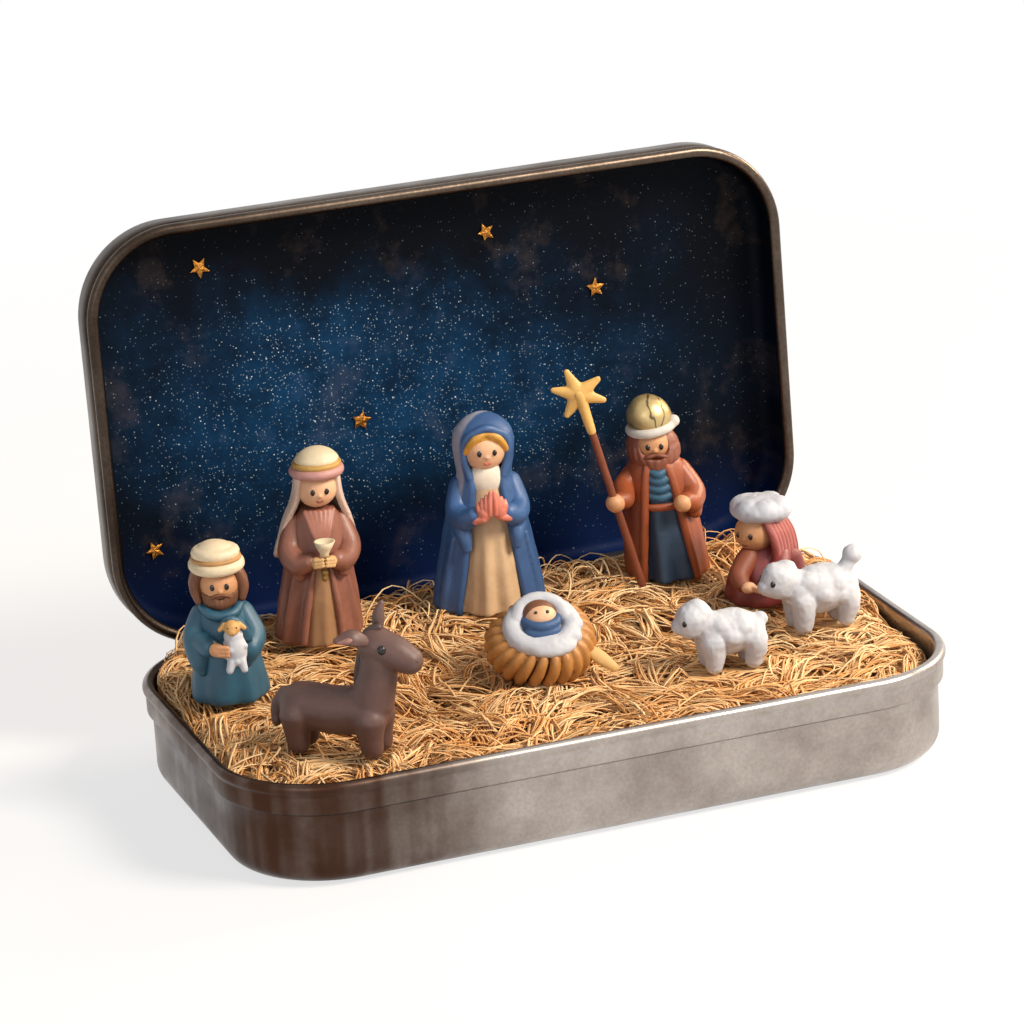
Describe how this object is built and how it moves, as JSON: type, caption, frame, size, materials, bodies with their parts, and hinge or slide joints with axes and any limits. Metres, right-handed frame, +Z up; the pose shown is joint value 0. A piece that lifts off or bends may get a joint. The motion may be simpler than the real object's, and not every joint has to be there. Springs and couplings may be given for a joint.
{
  "type": "pocket nativity tin",
  "caption": "Hinged pressed tin opened upright, its lid lined with a starry night sky, its base bedded with straw that carries loose clay nativity figures, animals and a manger.",
  "frame": {"origin": "centre of the flat underside of the tin's base", "axes": "+Z up, +X along the tin's long side to the viewer's right, +Y to the back where the hinge is"},
  "size_m": [0.095, 0.0635, 0.0679],
  "materials": {
    "tinplate": "worn satin tinplate",
    "night_sky": "satin paint",
    "gold_foil": "rough foil",
    "straw": "loose dry fibre",
    "clay_teal": "matt",
    "clay_tan_skin": "matt",
    "clay_brown_hair": "matt",
    "clay_cream": "matt",
    "clay_white": "matt",
    "clay_mauve": "matt",
    "clay_tan": "matt",
    "clay_peach_skin": "matt",
    "clay_pink": "matt",
    "clay_ochre": "matt",
    "clay_dark_gold": "satin",
    "clay_blue": "matt",
    "clay_gown": "matt",
    "clay_gold_hair": "matt",
    "clay_rose": "matt",
    "clay_navy": "matt",
    "clay_rust": "matt",
    "clay_auburn": "matt",
    "clay_grey": "matt",
    "clay_antique_gold": "gilded",
    "clay_yellow": "matt",
    "clay_burgundy": "matt",
    "clay_sleeve_brown": "matt",
    "clay_red_hair": "matt",
    "clay_donkey": "matt",
    "clay_basket": "matt",
    "clay_denim": "matt"
  },
  "bodies": {
    "tin_base": {"base_pan": "tinplate", "straw_bed": "straw"},
    "lid": {"lid_shell": "tinplate", "sky_liner": "night_sky", "foil_star_1": "gold_foil", "foil_star_2": "gold_foil", "foil_star_3": "gold_foil", "foil_star_4": "gold_foil", "foil_star_5": "gold_foil", "foil_star_6": "gold_foil"},
    "shepherd": {"shepherd_robe": "clay_teal", "shepherd_head": "clay_tan_skin", "shepherd_hand": "clay_tan_skin", "shepherd_beard": "clay_brown_hair", "shepherd_turban": "clay_cream", "shepherd_lamb": "clay_white"},
    "bearer": {"bearer_veil": "clay_cream", "bearer_hat_crown": "clay_cream", "bearer_cup": "clay_cream", "bearer_robe": "clay_mauve", "bearer_gown": "clay_tan", "bearer_head": "clay_peach_skin", "bearer_hands": "clay_peach_skin", "bearer_hat_brim": "clay_pink", "bearer_hat_band": "clay_ochre", "bearer_knob": "clay_dark_gold"},
    "mother": {"mother_head": "clay_peach_skin", "mother_gown": "clay_gown", "mother_mantle": "clay_blue", "mother_hair": "clay_gold_hair", "mother_hands": "clay_rose"},
    "king": {"king_head": "clay_tan_skin", "king_staff_hand": "clay_tan_skin", "king_free_hand": "clay_tan_skin", "king_tunic": "clay_navy", "king_coat": "clay_rust", "king_belt": "clay_rust", "king_staff": "clay_rust", "king_beard": "clay_auburn", "king_brim": "clay_grey", "king_cap": "clay_antique_gold", "king_star": "clay_yellow"},
    "kneeler": {"kneeler_head": "clay_tan_skin", "kneeler_cap": "clay_white", "kneeler_hands": "clay_peach_skin", "kneeler_robe": "clay_burgundy", "kneeler_sleeve": "clay_sleeve_brown", "kneeler_hair": "clay_red_hair"},
    "donkey": {"donkey_body": "clay_donkey", "donkey_near_ear": "clay_donkey", "donkey_far_ear": "clay_donkey"},
    "front_sheep": {"front_sheep_body": "clay_white", "front_sheep_head": "clay_white"},
    "rear_sheep": {"rear_sheep_body": "clay_white", "rear_sheep_head": "clay_white"},
    "manger": {"manger_swaddling": "clay_white", "child_head": "clay_peach_skin", "manger_basket": "clay_basket", "manger_slat": "clay_basket", "child_wrap": "clay_denim"}
  },
  "joints": [
    {"name": "lid_hinge", "type": "hinge", "parent": "tin_base", "child": "lid", "pos_m": [0, 0.0265, 0.01435], "axis": [-1, 0, 0], "range_deg": [-27, 0]},
    {"name": "shepherd_lift", "type": "slide", "parent": "tin_base", "child": "shepherd", "axis": [0, 0, 1], "range_m": [0, 0.05]},
    {"name": "bearer_lift", "type": "slide", "parent": "tin_base", "child": "bearer", "axis": [0, 0, 1], "range_m": [0, 0.05]},
    {"name": "mother_lift", "type": "slide", "parent": "tin_base", "child": "mother", "axis": [0, 0, 1], "range_m": [0, 0.05]},
    {"name": "king_lift", "type": "slide", "parent": "tin_base", "child": "king", "axis": [0, 0, 1], "range_m": [0, 0.05]},
    {"name": "kneeler_lift", "type": "slide", "parent": "tin_base", "child": "kneeler", "axis": [0, 0, 1], "range_m": [0, 0.05]},
    {"name": "donkey_lift", "type": "slide", "parent": "tin_base", "child": "donkey", "axis": [0, 0, 1], "range_m": [0, 0.05]},
    {"name": "front_sheep_lift", "type": "slide", "parent": "tin_base", "child": "front_sheep", "axis": [0, 0, 1], "range_m": [0, 0.05]},
    {"name": "rear_sheep_lift", "type": "slide", "parent": "tin_base", "child": "rear_sheep", "axis": [0, 0, 1], "range_m": [0, 0.05]},
    {"name": "manger_lift", "type": "slide", "parent": "tin_base", "child": "manger", "axis": [0, 0, 1], "range_m": [0, 0.05]}
  ]
}
